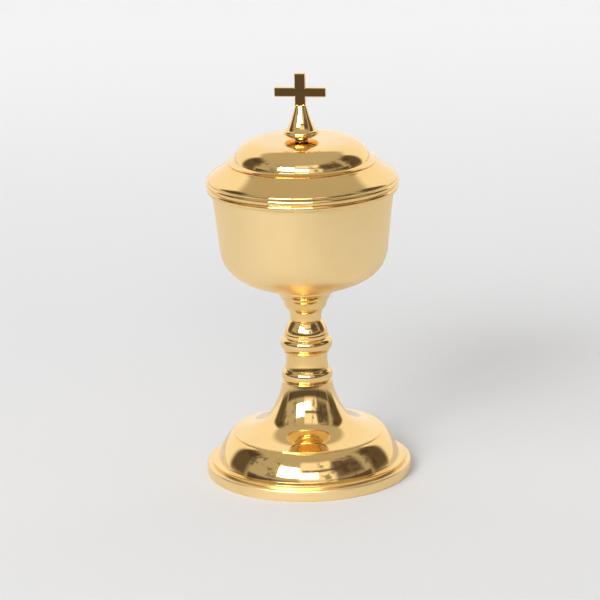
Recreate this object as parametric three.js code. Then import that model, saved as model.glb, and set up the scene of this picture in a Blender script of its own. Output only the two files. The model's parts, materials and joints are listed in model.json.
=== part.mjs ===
// A gilt brass ciborium: a covered cup on a knopped stem and a stepped round foot, with a lid
// that lifts off and carries a turned finial and a small plain cross.
//
// Units are millimetres, +Z is up. The origin is the centre of the foot's underside, on the table.
// The cross lies in the X-Z plane and faces -Y. Everything else is turned about the Z axis.
//
// How it comes apart: the lid is one group (shell, rim, seat ring, finial with its stud, washer and
// nut, and the cross in the finial's socket). Below it the bowl carries a threaded boss, and one tie
// rod draws the bowl, the five turned stem pieces and the foot together with a washer and a nut
// inside the foot.
import * as THREE from "three";

// ---- driving dimensions ----
const FOOT_RADIUS = 50;
const FOOT_RIM_HEIGHT = 5.6;
const FOOT_STEP = { radius: 36.6, z: 19.9 }; // where the round moulding meets the flared neck
const FOOT_NECK = { radius: 12.1, z: 46.4 }; // top of the flared neck
const COLLAR_TOP = 52.6;
const SLEEVE_TOP = 60.6;
const KNOP_TOP = 70;
const BULB_TOP = 77;
const BOWL_BOTTOM = 93.3;
const BOWL_RADIUS = 43.9; // outside, at the lip
const LIP_RADIUS = 46.4;
const LIP_BOTTOM = 141.9;
const SEAT_PLANE = 144.8; // where the lid rests on the bowl's lip
const LID_RIM_TOP = 147.5;
const LID_RADIUS = 46.6;
const LID_STEP = { radius: 35.8, z: 155.7 }; // where the lid's lower tier meets its dome
const LID_DOME = { wall: 32.9, shoulder: 21.1, top: 166.9 };
const FINIAL_TOP = 183.1;
const CROSS_TOP = 198.7;
const CROSS_SPAN = 24.8;
const CROSS_ARM = { low: 187.4, high: 191.8 };
const CROSS_POST_WIDTH = 5.1;
const CROSS_THICKNESS = 3;

const FOOT_WALL = 1.3;
const BOWL_WALL = 1;
const LID_WALL = 1;
const JOINT_GAP = 0.05; // between faces that are clamped or soldered together
const WIRE_GAP = 0.07; // between a soldered wire and the wall inside it
const THREAD_GAP = 0.1; // between a thread and its nut or hole
const SEAT_CLEARANCE = 0.5; // between the lid's seat ring and the inside of the bowl
const SEAT_RING_RADIUS = BOWL_RADIUS - BOWL_WALL - SEAT_CLEARANCE;

const ROD = { radius: 3, bore: 3.3, end: 36.5, top: BOWL_BOTTOM - 2 }; // M6 tie rod
const BOSS = { radius: 6, low: BULB_TOP + 6.5 };
const STUD = { radius: 2, bore: 2.15, top: 172.3 }; // M4 finial stud
const CROSS_SOCKET = { radius: 2.1, end: 178.6 };

const WIDE_SEGMENTS = 36;
const NARROW_SEGMENTS = 20;
const CURVE_STEPS = 5;
const SAME_POINT = 0.02;

// ---- materials ----
const gilt = new THREE.MeshStandardMaterial({ color: 0xe2b566, roughness: 0.12, metalness: 1 });
const satinGilt = new THREE.MeshStandardMaterial({ color: 0xe6c07c, roughness: 0.42, metalness: 1 });
const darkGilt = new THREE.MeshStandardMaterial({ color: 0xb98f4a, roughness: 0.3, metalness: 1 });
const steel = new THREE.MeshStandardMaterial({ color: 0xa9a7a2, roughness: 0.35, metalness: 1 });

// ---- shape helpers ----

// Points (radius, height) along a path that draw() makes with moveTo, lineTo and bezierCurveTo.
function outline(draw) {
  const path = new THREE.Path();
  draw(path);
  return path.getPoints(CURVE_STEPS).filter(
    (p, i, all) => i === 0 || p.distanceTo(all[i - 1]) > SAME_POINT,
  );
}

// The outline of a thin sheet: outer runs upwards, and the inside lies wall to its left.
function sheetOutline(outer, wall) {
  const inner = outer.map((p, i) => {
    const before = outer[Math.max(i - 1, 0)];
    const after = outer[Math.min(i + 1, outer.length - 1)];
    const along = after.clone().sub(before).normalize();
    return new THREE.Vector2(p.x - wall * along.y, p.y + wall * along.x);
  });
  const clear = inner.filter((p) => p.x >= 0 && distanceToLine(p, outer) > 0.98 * wall);
  return [...outer, ...clear.reverse()];
}

function distanceToLine(point, line) {
  let nearest = Infinity;
  for (let i = 1; i < line.length; i++) {
    const side = line[i].clone().sub(line[i - 1]);
    const share = point.clone().sub(line[i - 1]).dot(side) / side.lengthSq();
    const foot = line[i - 1].clone().addScaledVector(side, THREE.MathUtils.clamp(share, 0, 1));
    nearest = Math.min(nearest, foot.distanceTo(point));
  }
  return nearest;
}

// A solid turned about Z. The points run anticlockwise, and the loop is closed off the axis.
function turned(name, points, material, segments = NARROW_SEGMENTS) {
  const first = points[0];
  const last = points[points.length - 1];
  const onAxis = first.x === 0 && last.x === 0;
  const closed = onAxis ? points : [...points, first.clone()];
  const geometry = new THREE.LatheGeometry(closed, segments).rotateX(Math.PI / 2);
  return named(name, geometry, material);
}

// A flat ring or plate with straight sides, from z = low to z = high.
function ring(name, inner, outer, low, high, material, segments = NARROW_SEGMENTS) {
  const corners = [
    new THREE.Vector2(inner, low),
    new THREE.Vector2(outer, low),
    new THREE.Vector2(outer, high),
    new THREE.Vector2(inner, high),
  ];
  return turned(name, corners, material, segments);
}

function hexNut(name, acrossFlats, bore, low, high, material) {
  const corner = acrossFlats / Math.sqrt(3);
  const corners = [0, 1, 2, 3, 4, 5].map((i) => {
    const angle = (i * Math.PI) / 3;
    return new THREE.Vector2(corner * Math.cos(angle), corner * Math.sin(angle));
  });
  const hexagon = new THREE.Shape(corners);
  hexagon.holes.push(new THREE.Path().absarc(0, 0, bore, 0, 2 * Math.PI, true));
  const geometry = new THREE.ExtrudeGeometry(hexagon, {
    depth: high - low,
    bevelEnabled: false,
    curveSegments: NARROW_SEGMENTS / 2,
  });
  const mesh = named(name, geometry, material);
  mesh.position.z = low;
  return mesh;
}

function named(name, geometry, material) {
  const mesh = new THREE.Mesh(geometry, material);
  mesh.name = name;
  return mesh;
}

// ---- foot ----

// The heavy turned band that the foot stands on, with a flange that the foot's sheet sits on.
function footRim() {
  const wall = 2.2;
  const flange = { inner: 44, thickness: 1.5 };
  const edge = 0.3;
  const rounding = 1.2;
  const top = FOOT_RIM_HEIGHT;
  const points = outline((p) => {
    p.moveTo(FOOT_RADIUS - wall, 0);
    p.lineTo(FOOT_RADIUS - edge, 0);
    p.lineTo(FOOT_RADIUS, edge);
    p.lineTo(FOOT_RADIUS, top - rounding);
    p.quadraticCurveTo(FOOT_RADIUS, top, FOOT_RADIUS - rounding, top);
    p.lineTo(flange.inner, top);
    p.lineTo(flange.inner, top - flange.thickness);
    p.lineTo(FOOT_RADIUS - wall, top - flange.thickness);
  });
  return turned("foot_rim", points, satinGilt, WIDE_SEGMENTS);
}

// Spun sheet: a bead, a hollow, a round moulding, a narrow step, and the flared neck, which is
// closed at the top by a plate for the tie rod.
function footShell() {
  const bottom = FOOT_RIM_HEIGHT + JOINT_GAP;
  const bead = { radius: 47.4, top: bottom + 1.7 };
  const waist = { radius: 44.6, z: bead.top + 0.15 };
  const neck = FOOT_NECK;
  const plate = 9;
  const { radius, z } = FOOT_STEP;
  const lip = 0.6;
  const outer = outline((p) => {
    p.moveTo(bead.radius, bottom);
    p.lineTo(bead.radius, bead.top - 0.3);
    p.lineTo(bead.radius - 0.3, bead.top);
    p.lineTo(waist.radius, waist.z);
    p.bezierCurveTo(waist.radius - 0.9, 11.3, radius + 3.7, z - 1.8, radius + 0.6, z);
    p.lineTo(radius, z);
    p.lineTo(radius, z + lip);
    p.bezierCurveTo(29, 21.4, 21.8, 24.6, 19.4, 28);
    p.bezierCurveTo(16.2, 32.4, 13.2, 38.5, neck.radius, neck.z - 0.4);
    p.lineTo(neck.radius - 0.4, neck.z);
    p.lineTo(plate, neck.z);
    p.lineTo(ROD.bore, neck.z);
  });
  return turned("foot_shell", sheetOutline(outer, FOOT_WALL), gilt, WIDE_SEGMENTS);
}

function footFasteners() {
  const washer = { radius: 8, thickness: 1 };
  const nut = { acrossFlats: 10, height: 5 };
  const washerTop = FOOT_NECK.z - FOOT_WALL - JOINT_GAP;
  const nutTop = washerTop - washer.thickness - JOINT_GAP;
  return [
    ring("foot_washer", ROD.bore, washer.radius, washerTop - washer.thickness, washerTop, steel),
    hexNut("foot_nut", nut.acrossFlats, ROD.radius + THREAD_GAP, nutTop - nut.height, nutTop, steel),
  ];
}

// ---- stem ----

// A turned stem piece: its outline from the lower face to the upper face, bored for the tie rod.
function stemPiece(name, low, high, draw) {
  const bottom = low + JOINT_GAP;
  const side = outline((p) => draw(p, bottom, high));
  const points = [new THREE.Vector2(ROD.bore, bottom), ...side, new THREE.Vector2(ROD.bore, high)];
  return turned(name, points, gilt);
}

function lowerCollar() {
  const end = 11.5;
  const swell = end + 1.15;
  return stemPiece("lower_collar", FOOT_NECK.z, COLLAR_TOP, (p, low, high) => {
    p.moveTo(end, low);
    p.lineTo(end + 0.3, low + 0.4);
    p.bezierCurveTo(swell, low + 1.2, swell, high - 1.7, end, high - 0.9);
    p.lineTo(end - 0.5, high);
  });
}

function stemSleeve() {
  const end = 10.65;
  const waist = end - 0.75;
  return stemPiece("stem_sleeve", COLLAR_TOP, SLEEVE_TOP, (p, low, high) => {
    p.moveTo(end, low);
    p.bezierCurveTo(waist, low + 2.5, waist, high - 2.5, end, high);
  });
}

function knop() {
  const end = 11;
  const bead = end + 0.4;
  const swell = end + 2.2;
  const neck = end - 0.2;
  return stemPiece("knop", SLEEVE_TOP, KNOP_TOP, (p, low, high) => {
    p.moveTo(end, low);
    p.lineTo(bead, low + 0.4);
    p.lineTo(bead, low + 1);
    p.lineTo(end, low + 1.3);
    p.bezierCurveTo(swell, low + 2, swell, low + 6.4, end + 0.2, low + 7.3);
    p.lineTo(neck, low + 7.8);
    p.lineTo(neck, high);
  });
}

function neckBulb() {
  const belly = 10.5;
  const neck = 7.5;
  return stemPiece("neck_bulb", KNOP_TOP, BULB_TOP, (p, low, high) => {
    p.moveTo(belly - 0.3, low);
    p.lineTo(belly, low + 0.4);
    p.bezierCurveTo(belly - 0.2, low + 2.4, neck + 1.7, high - 2.2, neck + 0.4, high - 0.2);
    p.lineTo(neck, high);
  });
}

// The flared piece that carries the bowl: two turned steps, a thin flange at the top, and a pocket
// for the bowl's boss.
function cupSupport() {
  const low = BULB_TOP + JOINT_GAP;
  const high = BOWL_BOTTOM - JOINT_GAP;
  const pocket = { radius: BOSS.radius + 0.2, floor: BOSS.low - 0.1 };
  const neck = 7.6;
  const lower = { radius: 9.5, z: low + 6.2 };
  const upper = { radius: 11.7, z: low + 10.9 };
  const flange = { radius: 16, low: high - 1 };
  const points = outline((p) => {
    p.moveTo(ROD.bore, low);
    p.lineTo(neck, low);
    p.bezierCurveTo(neck, low + 2.6, neck + 0.5, lower.z - 1.6, lower.radius, lower.z);
    p.lineTo(lower.radius + 0.4, lower.z + 0.3);
    p.bezierCurveTo(10.4, lower.z + 2, upper.radius - 0.8, upper.z - 1.2, upper.radius, upper.z);
    p.lineTo(upper.radius + 0.4, upper.z + 0.3);
    p.bezierCurveTo(12.8, upper.z + 2, 13.9, flange.low - 0.6, flange.radius - 0.4, flange.low - 0.3);
    p.lineTo(flange.radius, flange.low);
    p.lineTo(flange.radius, high);
    p.lineTo(pocket.radius, high);
    p.lineTo(pocket.radius, pocket.floor);
    p.lineTo(ROD.bore, pocket.floor);
  });
  return turned("cup_support", points, gilt);
}

function tieRod() {
  const chamfer = 0.5;
  const points = outline((p) => {
    p.moveTo(0, ROD.end);
    p.lineTo(ROD.radius - chamfer, ROD.end);
    p.lineTo(ROD.radius, ROD.end + chamfer);
    p.lineTo(ROD.radius, ROD.top - chamfer);
    p.lineTo(ROD.radius - chamfer, ROD.top);
    p.lineTo(0, ROD.top);
  });
  return turned("tie_rod", points, steel);
}

// ---- bowl ----

// Threaded boss brazed under the bowl. Its blind hole takes the top of the tie rod.
function bowlBoss() {
  const high = BOWL_BOTTOM - JOINT_GAP;
  const hole = { radius: ROD.radius + THREAD_GAP, end: ROD.top + 0.5 };
  const points = outline((p) => {
    p.moveTo(0, hole.end);
    p.lineTo(hole.radius, hole.end);
    p.lineTo(hole.radius, BOSS.low);
    p.lineTo(BOSS.radius, BOSS.low);
    p.lineTo(BOSS.radius, high);
    p.lineTo(0, high);
  });
  return turned("bowl_boss", points, darkGilt);
}

function bowlShell() {
  const floor = 15.6;
  const bend = { radius: 40.9, z: 114.5 };
  const edge = SEAT_PLANE - JOINT_GAP - 0.2;
  const outer = outline((p) => {
    p.moveTo(0, BOWL_BOTTOM);
    p.lineTo(floor, BOWL_BOTTOM);
    p.bezierCurveTo(29, BOWL_BOTTOM + 3.3, 40.2, bend.z - 14.1, bend.radius, bend.z);
    p.lineTo(BOWL_RADIUS, LIP_BOTTOM);
    p.lineTo(BOWL_RADIUS, edge);
  });
  return turned("bowl_shell", sheetOutline(outer, BOWL_WALL), satinGilt, WIDE_SEGMENTS);
}

// A polished bead of half-round wire, soldered at radius inner, from z = low to z = high.
function wireBead(name, inner, radius, low, high) {
  const points = outline((p) => {
    p.moveTo(inner, low);
    p.lineTo(radius - 0.9, low);
    p.bezierCurveTo(radius + 0.3, low + 0.2, radius + 0.3, high - 0.3, radius - 0.8, high);
    p.lineTo(inner, high);
  });
  return turned(name, points, gilt, WIDE_SEGMENTS);
}

// ---- lid ----

// The ring under the lid that drops inside the bowl and keeps the lid central.
function lidSeat() {
  const depth = 4.7; // below the bowl's lip
  const inner = SEAT_RING_RADIUS - LID_WALL;
  return ring("lid_seat", inner, SEAT_RING_RADIUS, SEAT_PLANE - depth, LID_RIM_TOP, gilt, WIDE_SEGMENTS);
}

// Spun sheet in two tiers: a round moulding, a narrow lip, and a dome with a hole for the stud.
function lidShell() {
  const bottom = LID_RIM_TOP + JOINT_GAP;
  const edge = 45.8;
  const flat = 8;
  const { radius, z } = LID_STEP;
  const { wall, shoulder, top } = LID_DOME;
  const outer = outline((p) => {
    p.moveTo(edge, bottom);
    p.lineTo(edge, bottom + 0.4);
    p.bezierCurveTo(edge, bottom + 2.6, 39, z - 3, radius + 0.4, z);
    p.lineTo(radius - 0.5, z + 0.1);
    p.lineTo(radius - 0.1, z + 0.7);
    p.bezierCurveTo(wall + 1, z + 0.9, wall + 0.4, z + 1.2, wall, z + 1.8);
    p.bezierCurveTo(wall - 0.7, z + 5.7, shoulder + 7.5, top - 0.9, shoulder, top - 0.4);
    p.lineTo(flat, top);
    p.lineTo(STUD.bore, top);
  });
  return turned("lid_shell", sheetOutline(outer, LID_WALL), gilt, WIDE_SEGMENTS);
}

// ---- finial and cross ----

// Turned finial: a short foot, a bead and a bell-shaped neck, bored at both ends.
function finial() {
  const low = LID_DOME.top + JOINT_GAP;
  const foot = 3.4;
  const bead = { radius: 8.2, low: low + 1.25, high: low + 4.35 };
  const swell = bead.radius + 0.5;
  const neck = 2.6;
  const top = FINIAL_TOP;
  const studHole = { radius: STUD.radius + THREAD_GAP, end: STUD.top + 0.3 };
  const points = outline((p) => {
    p.moveTo(0, studHole.end);
    p.lineTo(studHole.radius, studHole.end);
    p.lineTo(studHole.radius, low);
    p.lineTo(foot, low);
    p.lineTo(foot, bead.low - 0.1);
    p.lineTo(bead.radius - 1.6, bead.low);
    p.bezierCurveTo(swell, bead.low + 0.3, swell, bead.high - 0.2, bead.radius - 0.8, bead.high);
    p.bezierCurveTo(5, bead.high + 2.6, 3.7, top - 4.5, neck, top);
    p.lineTo(CROSS_SOCKET.radius, top);
    p.lineTo(CROSS_SOCKET.radius, CROSS_SOCKET.end);
    p.lineTo(0, CROSS_SOCKET.end);
  });
  return turned("finial", points, gilt);
}

function finialStud(low) {
  const points = outline((p) => {
    p.moveTo(0, low);
    p.lineTo(STUD.radius, low);
    p.lineTo(STUD.radius, STUD.top);
    p.lineTo(0, STUD.top);
  });
  return turned("finial_stud", points, steel);
}

function finialFasteners() {
  const washer = { radius: 5, thickness: 0.8 };
  const nut = { acrossFlats: 7, height: 2.6 };
  const threadShowing = 0.8;
  const washerTop = LID_DOME.top - LID_WALL - JOINT_GAP;
  const nutTop = washerTop - washer.thickness - JOINT_GAP;
  const nutLow = nutTop - nut.height;
  return [
    ring("finial_washer", STUD.bore, washer.radius, washerTop - washer.thickness, washerTop, steel),
    hexNut("finial_nut", nut.acrossFlats, STUD.radius + THREAD_GAP, nutLow, nutTop, steel),
    finialStud(nutLow - threadShowing),
  ];
}

// A plain cross with chamfered edges. Its tenon stands in the finial's socket.
function cross() {
  const chamfer = 0.35;
  const half = CROSS_POST_WIDTH / 2 - chamfer;
  const reach = CROSS_SPAN / 2 - chamfer;
  const arm = { low: CROSS_ARM.low + chamfer, high: CROSS_ARM.high - chamfer };
  const foot = FINIAL_TOP + JOINT_GAP + chamfer;
  const tenon = { half: 1.2 - chamfer, end: CROSS_SOCKET.end + 0.2 + chamfer };
  const right = [
    [tenon.half, tenon.end],
    [tenon.half, foot],
    [half, foot],
    [half, arm.low],
    [reach, arm.low],
    [reach, arm.high],
    [half, arm.high],
    [half, CROSS_TOP - chamfer],
  ];
  const left = right.map(([x, z]) => [-x, z]).reverse();
  const shape = new THREE.Shape([...right, ...left].map(([x, z]) => new THREE.Vector2(x, z)));
  const depth = CROSS_THICKNESS - 2 * chamfer;
  const geometry = new THREE.ExtrudeGeometry(shape, {
    depth,
    bevelSize: chamfer,
    bevelThickness: chamfer,
    bevelSegments: 1,
  });
  geometry.translate(0, 0, -depth / 2).rotateX(Math.PI / 2);
  return named("cross", geometry, gilt);
}

// ---- the assembly ----

const lipInner = BOWL_RADIUS + WIRE_GAP;
const bowlLip = wireBead("bowl_lip", lipInner, LIP_RADIUS, LIP_BOTTOM, SEAT_PLANE - JOINT_GAP);
const rimInner = SEAT_RING_RADIUS + WIRE_GAP;
const lidRim = wireBead("lid_rim", rimInner, LID_RADIUS, SEAT_PLANE, LID_RIM_TOP);

const stand = new THREE.Group();
stand.add(footRim(), footShell(), ...footFasteners(), tieRod());
stand.add(lowerCollar(), stemSleeve(), knop(), neckBulb(), cupSupport());
stand.add(bowlBoss(), bowlShell(), bowlLip);

const lid = new THREE.Group();
lid.add(lidRim, lidSeat(), lidShell(), finial(), ...finialFasteners(), cross());

const ciborium = new THREE.Group();
ciborium.add(stand, lid);

export default ciborium;
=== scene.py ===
"""Looks of the covered cup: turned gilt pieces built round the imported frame, on a pale floor."""

import json
import math

import bmesh
import bpy
from mathutils import Matrix, Vector


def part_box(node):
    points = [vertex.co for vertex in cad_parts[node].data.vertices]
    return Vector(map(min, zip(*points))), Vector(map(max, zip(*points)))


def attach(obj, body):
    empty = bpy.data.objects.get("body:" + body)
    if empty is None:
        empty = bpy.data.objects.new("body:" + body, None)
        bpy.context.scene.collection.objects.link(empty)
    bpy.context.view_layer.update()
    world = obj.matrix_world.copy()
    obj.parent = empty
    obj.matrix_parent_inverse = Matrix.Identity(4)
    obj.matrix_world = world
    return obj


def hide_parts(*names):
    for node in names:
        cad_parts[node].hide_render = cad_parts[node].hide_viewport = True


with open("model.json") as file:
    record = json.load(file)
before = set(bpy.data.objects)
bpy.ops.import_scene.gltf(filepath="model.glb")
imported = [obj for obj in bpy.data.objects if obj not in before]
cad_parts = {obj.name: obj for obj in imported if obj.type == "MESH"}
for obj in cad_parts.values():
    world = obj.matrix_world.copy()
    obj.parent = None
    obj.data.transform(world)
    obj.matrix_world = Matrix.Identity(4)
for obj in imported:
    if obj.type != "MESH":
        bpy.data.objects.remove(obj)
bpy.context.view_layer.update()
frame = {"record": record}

RECORD = frame["record"]
BODIES = {node: body for body, nodes in RECORD["behaviour"]["bodies"].items() for node in nodes}

MM = 0.001
TURN_STEPS = 192  # facets round a turned piece
CURVE_POINTS = 14  # points along each curved stretch of an outline
CLOSEST_POINTS = 0.004  # outline points nearer than this, in mm, count as one
SAME_PLACE = 1e-7
CORNER = math.radians(17)  # an outline that turns by more than this has a corner there
EDGE_BREAK = 0.12  # how far a turned corner is eased, in mm

ROD_BORE = 3.3  # radii in mm: the holes for the tie rod, then the hole in its nut
ROD_NUT_BORE = 3.05
STUD_BORE = 2.15  # the hole for the finial's stud, then the hole in its nut
STUD_NUT_BORE = 2.05

CAMERA_AZIMUTH = math.radians(9)
CAMERA_PITCH = math.radians(16.05)
CAMERA_ROLL = math.radians(-1.42)
CAMERA_DISTANCE = 1.555
CAMERA_LENS = 192
CAMERA_SENSOR = 36
AIM_HEIGHT = 0.0863
AIM_LEFT = 0.0026
RIGHTWARD = Vector((math.cos(CAMERA_AZIMUTH), math.sin(CAMERA_AZIMUTH), 0))  # in the picture, level
BACKWARD = Vector((-math.sin(CAMERA_AZIMUTH), math.cos(CAMERA_AZIMUTH), 0))  # away from the camera, level

FLOOR_REACH = 5
FLOOR_IN_FRONT = 0.62  # how far the mirrored part of the floor runs towards the camera from the cup


# ---------------------------------------------------------------- outlines and turned pieces


class Outline:
    """Half a cross-section in millimetres: distance from the axis, then height."""

    def __init__(self, radius, height):
        self.points = [Vector((radius, height))]

    def line(self, radius, height):
        self.points.append(Vector((radius, height)))
        return self

    def curve(self, leave_radius, leave_height, arrive_radius, arrive_height, radius, height):
        """A cubic curve from the last point, with its two handles first."""
        start = self.points[-1]
        leave = Vector((leave_radius, leave_height))
        arrive = Vector((arrive_radius, arrive_height))
        end = Vector((radius, height))
        for step in range(1, CURVE_POINTS + 1):
            t = step / CURVE_POINTS
            s = 1 - t
            self.points.append(s**3 * start + 3 * s * s * t * leave + 3 * s * t * t * arrive + t**3 * end)
        return self


def extent(node):
    """A CAD node's outer radius, lowest height and highest height, in millimetres."""
    low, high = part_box(node)
    return high.x / MM, low.z / MM, high.z / MM


def without_repeats(points):
    """The points, with any that repeats the one before it left out."""
    kept = [points[0]]
    for point in points[1:]:
        if (point - kept[-1]).length > CLOSEST_POINTS:
            kept.append(point)
    return kept


def turn_angle(before, corner, after):
    """How sharply an outline turns at a corner."""
    return (corner - before).angle(after - corner, 0)


def eased(points, closed, size=EDGE_BREAK):
    """The outline with each sharp corner turned into a small round, as a lathe tool leaves it."""
    points = without_repeats(points)
    count = len(points)
    result = []
    for i, corner in enumerate(points):
        if not closed and i in (0, count - 1):
            result.append(corner)
            continue
        before = points[i - 1]
        after = points[(i + 1) % count]
        if turn_angle(before, corner, after) < CORNER:
            result.append(corner)
            continue
        reach = min(size, 0.4 * (corner - before).length, 0.4 * (after - corner).length)
        start = corner + (before - corner).normalized() * reach
        end = corner + (after - corner).normalized() * reach
        for t in (0, 0.25, 0.5, 0.75, 1):
            s = 1 - t
            result.append(s * s * start + 2 * s * t * corner + t * t * end)
    return result


def inner_side(points, wall):
    """A sheet's inner face: the outer one moved inward by the wall, where that stays clear of it.

    A curve's straight stretches bring it a little nearer than the wall, so 3% less still counts as clear.
    """
    moved = []
    for i, point in enumerate(points):
        before = points[max(i - 1, 0)]
        after = points[min(i + 1, len(points) - 1)]
        along = (after - before).normalized()
        moved.append(point + Vector((-along.y, along.x)) * wall)
    clear = [p for p in moved if min((p - q).length for q in points) > 0.97 * wall and p.x >= -SAME_PLACE]
    return without_repeats(clear)


def mesh_object(name, mesh_data, sharp_over=40):
    """A smooth-shaded object of a bmesh, with edges over an angle in degrees left sharp."""
    mesh = bpy.data.meshes.new(name)
    mesh_data.to_mesh(mesh)
    mesh_data.free()
    mesh.shade_smooth()
    mesh.set_sharp_from_angle(angle=math.radians(sharp_over))
    made = bpy.data.objects.new(name, mesh)
    bpy.context.scene.collection.objects.link(made)
    return made


def joined_rings(solid, rings):
    """Faces between each ring of points and the next, all the way round."""
    for step, ring in enumerate(rings):
        following = rings[(step + 1) % len(rings)]
        for i in range(len(ring)):
            j = (i + 1) % len(ring)
            solid.faces.new((ring[i], following[i], following[j], ring[j]))


def turned(name, points):
    """A solid turned about the vertical axis from a closed outline in millimetres."""
    solid = bmesh.new()
    rings = []
    for step in range(TURN_STEPS):
        angle = 2 * math.pi * step / TURN_STEPS
        across = Vector((math.cos(angle), math.sin(angle), 0))
        places = [(across * p.x + Vector((0, 0, p.y))) * MM for p in points]
        rings.append([solid.verts.new(place) for place in places])
    joined_rings(solid, rings)
    bmesh.ops.remove_doubles(solid, verts=solid.verts, dist=SAME_PLACE)
    bmesh.ops.recalc_face_normals(solid, faces=solid.faces)
    return mesh_object(name, solid)


def fitted(piece, node, material):
    """Puts a piece in a CAD node's place, on its body and in its finish."""
    piece.data.materials.append(material)
    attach(piece, BODIES[node])
    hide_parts(node)


# ---------------------------------------------------------------- node helpers


class Nodes:
    """A short way to add and join shader nodes."""

    def __init__(self, tree):
        self.tree = tree
        tree.nodes.clear()

    def add(self, kind, inputs=None, **settings):
        node = self.tree.nodes.new(kind)
        for key, value in settings.items():
            setattr(node, key, value)
        for key, value in (inputs or {}).items():
            self.feed(node.inputs[key], value)
        return node

    def feed(self, socket, value):
        if isinstance(value, bpy.types.NodeSocket):
            self.tree.links.new(value, socket)
        else:
            socket.default_value = value

    def math(self, operation, first, second=0.0):
        return self.add("ShaderNodeMath", {0: first, 1: second}, operation=operation).outputs[0]

    def spread(self, value, low, high, to_low=0.0, to_high=1.0):
        """Maps low..high smoothly to to_low..to_high."""
        inputs = {"Value": value, "From Min": low, "From Max": high, "To Min": to_low, "To Max": to_high}
        return self.add("ShaderNodeMapRange", inputs, interpolation_type="SMOOTHSTEP").outputs["Result"]

    def noise(self, vector, scale, detail=2.0, roughness=0.5):
        inputs = {"Vector": vector, "Scale": scale, "Detail": detail, "Roughness": roughness}
        return self.add("ShaderNodeTexNoise", inputs).outputs["Fac"]

    def mix(self, factor, first, second):
        node = self.add("ShaderNodeMix", data_type="RGBA")
        self.feed(node.inputs["Factor"], factor)
        self.feed(node.inputs["A"], first)
        self.feed(node.inputs["B"], second)
        return node.outputs["Result"]


# ---------------------------------------------------------------- metals


def lathe_vector(nodes, position, around, along):
    """A vector that runs slowly round the axis and fast along the profile, for turning marks."""
    x, y, z = nodes.add("ShaderNodeSeparateXYZ", {"Vector": position}).outputs
    squares = nodes.math("ADD", nodes.math("MULTIPLY", x, x), nodes.math("MULTIPLY", y, y))
    radius = nodes.math("SQRT", squares)
    angle = nodes.math("ARCTAN2", y, x)
    inputs = {
        "X": nodes.math("MULTIPLY", radius, along),
        "Y": nodes.math("MULTIPLY", angle, around),
        "Z": nodes.math("MULTIPLY", z, along),
    }
    return nodes.add("ShaderNodeCombineXYZ", inputs).outputs[0]


def metal(name, colour, worn_colour, roughness, turning, scratches, waviness):
    """A turned metal: tone that drifts, turning marks, fine scratches and a slightly uneven surface."""
    material = bpy.data.materials.new(name)
    material.use_nodes = True
    nodes = Nodes(material.node_tree)
    position = nodes.add("ShaderNodeTexCoord").outputs["Object"]

    drift = nodes.noise(position, 38, detail=4)
    handling = nodes.noise(position, 260, detail=5, roughness=0.65)
    tone = nodes.mix(nodes.spread(drift, 0.35, 0.68), colour, worn_colour)

    marks = nodes.noise(lathe_vector(nodes, position, 0.7, 2600), 1.0, detail=3, roughness=0.7)
    cells = nodes.add("ShaderNodeTexVoronoi", {"Vector": position, "Scale": 420}, feature="DISTANCE_TO_EDGE")
    hairlines = nodes.spread(cells.outputs["Distance"], 0.0, 0.012, 1.0, 0.0)
    ripple = nodes.noise(lathe_vector(nodes, position, 1.6, 90), 1.0, detail=1)

    haze = nodes.spread(handling, 0.3, 0.75, *roughness)
    rough = nodes.math("ADD", haze, nodes.math("MULTIPLY", hairlines, 0.05))

    relief = nodes.math("MULTIPLY", marks, turning)
    relief = nodes.math("SUBTRACT", relief, nodes.math("MULTIPLY", hairlines, scratches))
    relief = nodes.math("ADD", relief, nodes.math("MULTIPLY", ripple, waviness))
    bump = nodes.add("ShaderNodeBump", {"Strength": 1.0, "Distance": 1.0, "Height": relief})

    inputs = {"Base Color": tone, "Metallic": 1.0, "Roughness": rough, "Normal": bump.outputs["Normal"]}
    shader = nodes.add("ShaderNodeBsdfPrincipled", inputs)
    nodes.add("ShaderNodeOutputMaterial", {"Surface": shader.outputs["BSDF"]})
    return material


def polished_gilt():
    """Bright plating, buffed to a mirror."""
    return metal(
        "polished_gilt",
        colour=(0.95, 0.66, 0.28, 1),
        worn_colour=(0.91, 0.62, 0.25, 1),
        roughness=(0.035, 0.075),
        turning=4e-7,
        scratches=4e-7,
        waviness=1.5e-5,
    )


def satin_gilt():
    """Plating over a brushed surface, with a soft sheen."""
    return metal(
        "satin_gilt",
        colour=(0.98, 0.74, 0.38, 1),
        worn_colour=(0.96, 0.71, 0.34, 1),
        roughness=(0.34, 0.42),
        turning=2.5e-6,
        scratches=6e-7,
        waviness=1e-5,
    )


def dark_gilt():
    """Plating on a machined boss that is never buffed."""
    return metal(
        "dark_gilt",
        colour=(0.66, 0.45, 0.18, 1),
        worn_colour=(0.55, 0.38, 0.16, 1),
        roughness=(0.25, 0.4),
        turning=3e-6,
        scratches=6e-7,
        waviness=5e-6,
    )


def machined_steel():
    """Plain steel fastenings."""
    return metal(
        "steel",
        colour=(0.56, 0.55, 0.53, 1),
        worn_colour=(0.43, 0.42, 0.4, 1),
        roughness=(0.22, 0.4),
        turning=3e-6,
        scratches=1e-6,
        waviness=4e-6,
    )


# ---------------------------------------------------------------- foot


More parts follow.
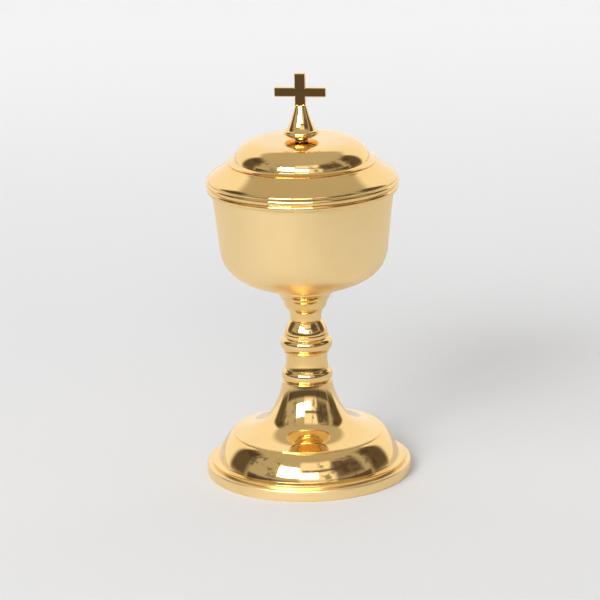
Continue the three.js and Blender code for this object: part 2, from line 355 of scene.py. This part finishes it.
def foot_rim(material):
    """The heavy band that the foot stands on, with a flange under the foot's sheet."""
    radius, low, high = extent("foot_rim")
    inner = radius - 2.2
    rounding = 1.2
    flange_inner = radius - 6
    flange_low = high - 1.5
    outline = Outline(inner, low).line(radius - 0.3, low).line(radius, low + 0.3)
    outline.line(radius, high - rounding)
    outline.curve(radius, high - 0.4, radius - 0.4, high, radius - rounding, high)
    outline.line(flange_inner, high).line(flange_inner, flange_low).line(inner, flange_low)
    piece = turned("foot_rim_band", eased(outline.points, closed=True))
    fitted(piece, "foot_rim", material)


def foot_shell(material):
    """Spun sheet: a bead, a hollow, a round moulding, a narrow step and the flared neck."""
    radius, low, high = extent("foot_shell")
    wall = 1.3
    bead_top = low + 1.7
    waist = 44.6
    step_radius = 36.6
    step = 19.9
    neck = 12.1
    outline = Outline(radius, low).line(radius, bead_top - 0.3).line(radius - 0.3, bead_top)
    outline.line(waist, bead_top + 0.15)
    outline.curve(waist - 0.9, 11.3, step_radius + 3.7, step - 1.8, step_radius + 0.6, step)
    outline.line(step_radius, step).line(step_radius, step + 0.6)
    outline.curve(29, 21.4, 21.8, 24.6, 19.4, 28)
    outline.curve(16.2, 32.4, 13.2, 38.5, neck, high - 0.4)
    outline.line(neck - 0.4, high)
    outline.line(ROD_BORE, high)
    outer = eased(outline.points, closed=False)
    piece = turned("foot_spinning", outer + inner_side(outer, wall)[::-1])
    fitted(piece, "foot_shell", material)


# ---------------------------------------------------------------- stem


def stem_piece(name, node, low, outline, high, material):
    """A turned stem piece from the outline of its side, bored for the tie rod."""
    points = [Vector((ROD_BORE, low)), *outline.points, Vector((ROD_BORE, high))]
    piece = turned(name, eased(points, closed=True))
    fitted(piece, node, material)


def lower_collar(material):
    _, low, high = extent("lower_collar")
    end = 11.5
    swell = 12.7
    outline = Outline(end, low).line(end + 0.3, low + 0.4)
    outline.curve(swell, low + 1.2, swell - 0.1, high - 1.7, end, high - 0.9).line(end - 0.5, high)
    stem_piece("stem_collar", "lower_collar", low, outline, high, material)


def stem_sleeve(material):
    _, low, high = extent("stem_sleeve")
    end = 10.6
    waist = 9.9
    outline = Outline(end + 0.1, low).curve(waist, low + 2.5, waist, high - 2.5, end, high)
    stem_piece("stem_waist", "stem_sleeve", low, outline, high, material)


def knop(material):
    _, low, high = extent("knop")
    end = 11
    bead = end + 0.4
    swell = 13.1
    neck = end - 0.2
    outline = Outline(end, low).line(bead, low + 0.4).line(bead, low + 1).line(end, low + 1.3)
    outline.curve(swell, low + 2, swell + 0.2, low + 6.4, end + 0.2, low + 7.3)
    outline.line(neck, low + 7.8).line(neck, high)
    stem_piece("stem_knop", "knop", low, outline, high, material)


def neck_bulb(material):
    belly, low, high = extent("neck_bulb")
    neck = 7.5
    outline = Outline(belly - 0.3, low).line(belly, low + 0.4)
    outline.curve(belly - 0.2, low + 2.4, neck + 1.7, high - 2.2, neck + 0.4, high - 0.2).line(neck, high)
    stem_piece("stem_bulb", "neck_bulb", low, outline, high, material)


def cup_support(material):
    """The flared piece under the bowl: two steps, a thin flange and a pocket for the bowl's boss."""
    radius, low, high = extent("cup_support")
    boss_radius, boss_low, _ = extent("bowl_boss")
    pocket = boss_radius + 0.2
    pocket_floor = boss_low - 0.1
    neck = 7.6
    lower_radius = 9.5
    lower_step = low + 6.2
    upper_radius = 11.7
    upper_step = low + 10.9
    flange = high - 1
    outline = Outline(ROD_BORE, low).line(neck, low)
    outline.curve(neck - 0.1, low + 2.6, neck + 0.5, lower_step - 1.6, lower_radius, lower_step)
    outline.line(lower_radius + 0.4, lower_step + 0.3)
    outline.curve(10.4, lower_step + 2, upper_radius - 0.8, upper_step - 1.2, upper_radius, upper_step)
    outline.line(upper_radius + 0.4, upper_step + 0.3)
    outline.curve(12.8, upper_step + 2, 13.9, flange - 0.6, radius - 0.4, flange - 0.3)
    outline.line(radius, flange).line(radius, high).line(pocket, high)
    outline.line(pocket, pocket_floor).line(ROD_BORE, pocket_floor)
    piece = turned("stem_cup_support", eased(outline.points, closed=True))
    fitted(piece, "cup_support", material)


# ---------------------------------------------------------------- bowl


def bowl_boss(material):
    """The boss under the bowl, with a blind hole for the end of the tie rod."""
    radius, low, high = extent("bowl_boss")
    hole_end = extent("tie_rod")[2] + 0.3
    outline = Outline(ROD_BORE, low).line(radius, low).line(radius, high).line(0, high)
    outline.line(0, hole_end).line(ROD_BORE, hole_end)
    piece = turned("bowl_socket", eased(outline.points, closed=True))
    fitted(piece, "bowl_boss", material)


def bowl_shell(material):
    radius, low, high = extent("bowl_shell")
    wall = 1
    floor_radius = 15.6
    bend_radius = 40.9
    bend = 114.5
    outline = Outline(0, low).line(floor_radius, low)
    outline.curve(29, low + 3.3, bend_radius - 0.7, bend - 14.1, bend_radius, bend)
    outline.line(radius, high - 2.65).line(radius, high)
    outer = eased(outline.points, closed=False)
    piece = turned("bowl_cup", outer + inner_side(outer, wall)[::-1])
    fitted(piece, "bowl_shell", material)


def bead(name, node, wall_node, material):
    """A half-round wire soldered round the outside of a turned wall."""
    radius, low, high = extent(node)
    inner = extent(wall_node)[0] + 0.07
    swell = radius + 0.28
    outline = Outline(inner, low).line(radius - 0.9, low)
    outline.curve(swell, low + 0.2, swell, high - 0.3, radius - 0.8, high)
    outline.line(inner, high)
    piece = turned(name, eased(outline.points, closed=True))
    fitted(piece, node, material)


# ---------------------------------------------------------------- lid


def lid_seat(material):
    """The ring that drops inside the bowl and keeps the lid central."""
    radius, low, high = extent("lid_seat")
    inner = radius - 1
    outline = Outline(inner, low).line(radius, low).line(radius, high).line(inner, high)
    piece = turned("lid_locating_ring", eased(outline.points, closed=True))
    fitted(piece, "lid_seat", material)


def lid_shell(material):
    """Spun sheet in two tiers: a round moulding, a narrow lip and a dome."""
    radius, low, high = extent("lid_shell")
    wall = 1
    step_radius = 35.8
    step = 155.7
    dome_wall = 32.9
    shoulder = 21.1
    flat = 8
    outline = Outline(radius, low).line(radius, low + 0.4)
    outline.curve(radius, low + 2.6, 39, step - 3, step_radius + 0.4, step)
    outline.line(step_radius - 0.5, step + 0.1).line(step_radius - 0.1, step + 0.7)
    outline.curve(dome_wall + 1, step + 0.9, dome_wall + 0.4, step + 1.2, dome_wall, step + 1.8)
    outline.curve(dome_wall - 0.7, step + 5.7, shoulder + 7.5, high - 0.9, shoulder, high - 0.4)
    outline.curve(shoulder - 4, high - 0.1, flat + 4, high, flat, high)
    outline.line(STUD_BORE, high)
    outer = eased(outline.points, closed=False)
    piece = turned("lid_spinning", outer + inner_side(outer, wall)[::-1])
    fitted(piece, "lid_shell", material)


def finial(material):
    """A short foot, a bead and a bell-shaped neck, with a hole for the stud and one for the cross."""
    radius, low, high = extent("finial")
    foot = 3.4
    bead_low = low + 1.25
    bead_high = low + 4.35
    swell = radius + 0.6
    stud_hole_end = extent("finial_stud")[2] + 0.3
    bore = 2.1
    socket_end = extent("cross")[1] - 0.15
    outline = Outline(bore, low).line(foot, low).line(foot, bead_low - 0.1)
    outline.line(radius - 1.6, bead_low)
    outline.curve(swell, bead_low + 0.3, swell, bead_high - 0.2, radius - 0.8, bead_high)
    outline.curve(5.3, bead_high + 2.2, 4.1, high - 4.6, 2.6, high)
    outline.line(bore, high).line(bore, socket_end).line(0, socket_end)
    outline.line(0, stud_hole_end).line(bore, stud_hole_end)
    piece = turned("lid_finial", eased(outline.points, closed=True))
    fitted(piece, "finial", material)


def cross(material):
    """A flat cross with chamfered edges, whose tenon stands in the finial."""
    low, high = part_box("cross")
    post = 5.1 * MM / 2
    arm_low = 187.4 * MM
    arm_high = 191.8 * MM
    tenon = 1.2 * MM
    shoulder = extent("finial")[2] * MM
    half = [
        (tenon, low.z),
        (tenon, shoulder),
        (post, shoulder),
        (post, arm_low),
        (high.x, arm_low),
        (high.x, arm_high),
        (post, arm_high),
        (post, high.z),
    ]
    outline = half + [(-x, z) for x, z in reversed(half)]
    solid = bmesh.new()
    front = solid.faces.new([solid.verts.new((x, low.y, z)) for x, z in outline])
    made = bmesh.ops.extrude_face_region(solid, geom=[front])["geom"]
    moved = [v for v in made if isinstance(v, bmesh.types.BMVert)]
    bmesh.ops.translate(solid, vec=(0, high.y - low.y, 0), verts=moved)
    bmesh.ops.recalc_face_normals(solid, faces=solid.faces)
    shape = {"offset": 0.35 * MM, "segments": 3, "profile": 0.6}
    bmesh.ops.bevel(solid, geom=solid.edges[:], affect="EDGES", clamp_overlap=True, **shape)
    piece = mesh_object("lid_cross", solid, sharp_over=3)
    fitted(piece, "cross", material)


# ---------------------------------------------------------------- fastenings


def threaded_rod(name, node, material, pitch, depth):
    """A rod with thread grooves along its two ends."""
    radius, low, high = extent(node)
    root = radius - depth
    plain_end = 0.3
    threaded = min(10, (high - low) / 2 - 1)
    turns = int(threaded / pitch)
    outline = Outline(0, low).line(root, low)
    for start in (low + plain_end, high - plain_end - threaded):
        for turn in range(turns):
            valley = start + turn * pitch
            outline.line(root, valley)
            outline.line(radius, valley + 0.4 * pitch).line(radius, valley + 0.55 * pitch)
        outline.line(root, start + turns * pitch)
    outline.line(root, high).line(0, high)
    piece = turned(name, without_repeats(outline.points))
    fitted(piece, node, material)


def washer(name, node, bore, material):
    radius, low, high = extent(node)
    outline = Outline(bore, low).line(radius, low).line(radius, high).line(bore, high)
    piece = turned(name, eased(outline.points, closed=True, size=0.2))
    fitted(piece, node, material)


def hex_nut(name, node, bore, material):
    """A nut with flat sides and corners chamfered at 30 degrees, on both faces."""
    low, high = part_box(node)
    flat = min(high.x, high.y)
    chamfer_start = flat * 0.97
    first_flat = math.radians(30) if high.x > high.y else 0
    sixth = math.radians(60)
    solid = bmesh.new()
    rings = []
    for step in range(TURN_STEPS):
        angle = 2 * math.pi * step / TURN_STEPS
        from_flat = (angle + first_flat + sixth / 2) % sixth - sixth / 2
        side = flat / math.cos(from_flat)
        drop = max(0, side - chamfer_start) * math.tan(math.radians(30))
        levels = [
            (bore * MM, low.z),
            (chamfer_start, low.z),
            (side, low.z + drop),
            (side, high.z - drop),
            (chamfer_start, high.z),
            (bore * MM, high.z),
        ]
        rings.append([solid.verts.new((r * math.cos(angle), r * math.sin(angle), z)) for r, z in levels])
    joined_rings(solid, rings)
    bmesh.ops.recalc_face_normals(solid, faces=solid.faces)
    piece = mesh_object(name, solid)
    fitted(piece, node, material)


# ---------------------------------------------------------------- studio

ROOM = (
    # left, right, bottom and top in degrees from the camera's direction, softness, light;
    # each row lies over the ones before it
    (-200, 200, 48, 100, 4, (0.54, 0.51, 0.47, 1)),  # ceiling
    (-117, 119, -1, 62, 4, (0.52, 0.5, 0.46, 1)),  # the room behind the camera
    (-110, 110, -40, -6, 1.5, (0.11, 0.09, 0.07, 1)),  # its floor
    (-120, -88, 2, 48, 6, (0.13, 0.11, 0.09, 1)),  # dark left corner
    (88, 120, 2, 48, 6, (0.13, 0.11, 0.09, 1)),  # dark right corner
    (-85, 85, 3, 13, 2, (0.12, 0.1, 0.09, 1)),  # dark low furniture
    (36, 74, 16, 44, 6, (0.17, 0.14, 0.14, 1)),  # dark figure to the right
    (-14, 34, 14, 50, 4, (1.12, 1.1, 1.06, 1)),  # pale wall
    (-10, 40, 31, 35, 1.5, (0.2, 0.18, 0.17, 1)),  # beam across it
    (-43, -15, 21, 38, 0.8, (19, 19, 19, 1)),  # left window
    (-13, 11, 20, 30, 0.8, (12, 12, 12, 1)),  # right window
)
CLUTTER = (
    # left, right, bottom and top of where dark furniture shows, in the same degrees
    (-112, -46, 2, 50),
    (14, 114, 2, 50),
)
BACKDROP = (1.04, 1.04, 1.04, 1)
CLUTTER_TONE = (0.07, 0.055, 0.05, 1)
SEEN_BACKGROUND = (0.84, 0.84, 0.845, 1)


def world_light():
    """The room round the cup: a bright backdrop, and a dim room behind the camera with two windows in it."""
    world = bpy.data.worlds.new("studio")
    bpy.context.scene.world = world
    world.use_nodes = True
    nodes = Nodes(world.node_tree)
    direction = nodes.add("ShaderNodeTexCoord").outputs["Generated"]
    inputs = {"Vector": direction, "Axis": (0, 0, 1), "Angle": -CAMERA_AZIMUTH}
    facing = nodes.add("ShaderNodeVectorRotate", inputs, rotation_type="AXIS_ANGLE").outputs[0]
    x, y, z = nodes.add("ShaderNodeSeparateXYZ", {"Vector": facing}).outputs
    side = nodes.math("DEGREES", nodes.math("ARCTAN2", x, nodes.math("MULTIPLY", y, -1)))
    rise = nodes.math("DEGREES", nodes.math("ARCSINE", z))

    def patch(left, right, bottom, top, soft):
        """1 inside a patch of the room given in degrees to the side and up, fading at its edges."""
        edges = (
            nodes.spread(side, left - soft, left + soft),
            nodes.spread(side, right - soft, right + soft, 1, 0),
            nodes.spread(rise, bottom - soft, bottom + soft),
            nodes.spread(rise, top - soft, top + soft, 1, 0),
        )
        across = nodes.math("MULTIPLY", edges[0], edges[1])
        up = nodes.math("MULTIPLY", edges[2], edges[3])
        return nodes.math("MULTIPLY", across, up)

    colour = BACKDROP
    for left, right, bottom, top, soft, tone in ROOM:
        colour = nodes.mix(patch(left, right, bottom, top, soft), colour, tone)
    clutter = nodes.spread(nodes.noise(facing, 4.5, detail=4, roughness=0.6), 0.5, 0.6)
    for left, right, bottom, top in CLUTTER:
        here = nodes.math("MULTIPLY", clutter, patch(left, right, bottom, top, 5))
        colour = nodes.mix(nodes.math("MULTIPLY", here, 0.68), colour, CLUTTER_TONE)
    lit = nodes.add("ShaderNodeBackground", {"Color": colour, "Strength": 1.0}).outputs[0]
    seen = nodes.add("ShaderNodeBackground", {"Color": SEEN_BACKGROUND, "Strength": 1.0}).outputs[0]
    camera_ray = nodes.add("ShaderNodeLightPath").outputs["Is Camera Ray"]
    both = nodes.add("ShaderNodeMixShader", {0: camera_ray, 1: lit, 2: seen}).outputs[0]
    nodes.add("ShaderNodeOutputWorld", {"Surface": both})


def floor_material():
    """A matt pale surface with painted shade: a little darker round the cup than far behind it."""
    material = bpy.data.materials.new("floor")
    material.use_nodes = True
    nodes = Nodes(material.node_tree)
    position = nodes.add("ShaderNodeTexCoord").outputs["Object"]
    inputs = {0: position, 1: BACKWARD}
    behind = nodes.add("ShaderNodeVectorMath", inputs, operation="DOT_PRODUCT").outputs["Value"]
    # painted shade: the floor's colour runs darker near the cup and lighter further behind it, standing in
    # for light falling off
    depth = nodes.spread(behind, 0.1, 1.3)
    mottle = nodes.math("MULTIPLY", nodes.noise(position, 3.0, detail=5), 0.1)
    tone = nodes.mix(nodes.math("ADD", depth, mottle), (0.565, 0.57, 0.582, 1), (0.73, 0.735, 0.75, 1))
    grain = nodes.noise(position, 900, detail=3)
    bump = nodes.add("ShaderNodeBump", {"Strength": 0.2, "Distance": 1e-4, "Height": grain})
    inputs = {"Base Color": tone, "Roughness": 0.75, "Normal": bump.outputs["Normal"]}
    shader = nodes.add("ShaderNodeBsdfPrincipled", inputs)
    nodes.add("ShaderNodeOutputMaterial", {"Surface": shader.outputs["BSDF"]})
    return material


def floor_part(name, front, back, material):
    """A rectangle of floor between two distances behind the cup. Negative ones are in front of it."""
    sheet = bmesh.new()
    corners = ((-FLOOR_REACH, front), (FLOOR_REACH, front), (FLOOR_REACH, back), (-FLOOR_REACH, back))
    sheet.faces.new([sheet.verts.new(RIGHTWARD * right + BACKWARD * behind) for right, behind in corners])
    made = mesh_object(name, sheet)
    made.data.materials.append(material)
    return made


def floor():
    """A wide pale floor. The part near the camera is not mirrored, so that the cross stays dark."""
    material = floor_material()
    floor_part("floor", -FLOOR_IN_FRONT, FLOOR_REACH, material)
    front = floor_part("floor_in_front", -FLOOR_REACH, -FLOOR_IN_FRONT, material)
    front.visible_glossy = False


def softbox(name, azimuth, elevation, distance, side, power):
    """A square light aimed at the cup, placed by degrees from the camera's azimuth. It isn't mirrored."""
    data = bpy.data.lights.new(name, "AREA")
    data.size = side
    data.energy = power
    made = bpy.data.objects.new(name, data)
    bpy.context.scene.collection.objects.link(made)
    bearing = CAMERA_AZIMUTH + math.radians(azimuth)
    rise = math.radians(elevation)
    away = Vector((math.sin(bearing) * math.cos(rise), -math.cos(bearing) * math.cos(rise), math.sin(rise)))
    facing = away.to_track_quat("Z", "Y").to_matrix()
    made.matrix_world = Matrix.Translation(away * distance) @ facing.to_4x4()
    made.visible_glossy = False


def camera():
    """The photograph's viewpoint, aimed a little to the left of the cup's axis."""
    data = bpy.data.cameras.new("camera")
    data.lens = CAMERA_LENS
    data.sensor_width = CAMERA_SENSOR
    made = bpy.data.objects.new("camera", data)
    bpy.context.scene.collection.objects.link(made)
    towards = Vector((0, 0, math.sin(CAMERA_PITCH))) - BACKWARD * math.cos(CAMERA_PITCH)
    aim = Vector((0, 0, AIM_HEIGHT)) - RIGHTWARD * AIM_LEFT
    level = towards.to_track_quat("Z", "Y").to_matrix()
    rolled = level @ Matrix.Rotation(CAMERA_ROLL, 3, "Z")
    made.matrix_world = Matrix.Translation(aim + towards * CAMERA_DISTANCE) @ rolled.to_4x4()
    bpy.context.scene.camera = made


def build():
    polished = polished_gilt()
    satin = satin_gilt()
    steel = machined_steel()
    foot_rim(satin)
    foot_shell(polished)
    lower_collar(polished)
    stem_sleeve(polished)
    knop(polished)
    neck_bulb(polished)
    cup_support(polished)
    bowl_boss(dark_gilt())
    bowl_shell(satin)
    bead("bowl_lip_bead", "bowl_lip", "bowl_shell", polished)
    bead("lid_rim_bead", "lid_rim", "lid_seat", polished)
    lid_seat(polished)
    lid_shell(polished)
    finial(polished)
    cross(polished)
    threaded_rod("stem_tie_rod", "tie_rod", steel, pitch=0.8, depth=0.3)
    threaded_rod("finial_thread", "finial_stud", steel, pitch=0.5, depth=0.2)
    washer("foot_plate_washer", "foot_washer", ROD_BORE, steel)
    washer("finial_plate_washer", "finial_washer", STUD_BORE, steel)
    hex_nut("foot_hex_nut", "foot_nut", ROD_NUT_BORE, steel)
    hex_nut("finial_hex_nut", "finial_nut", STUD_NUT_BORE, steel)


build()
floor()
camera()
world_light()
softbox("overhead_light", azimuth=160, elevation=75, distance=2.4, side=3, power=14)
softbox("key_light", azimuth=-52, elevation=38, distance=1.7, side=0.8, power=8)
bpy.context.scene.view_settings.view_transform = "Standard"
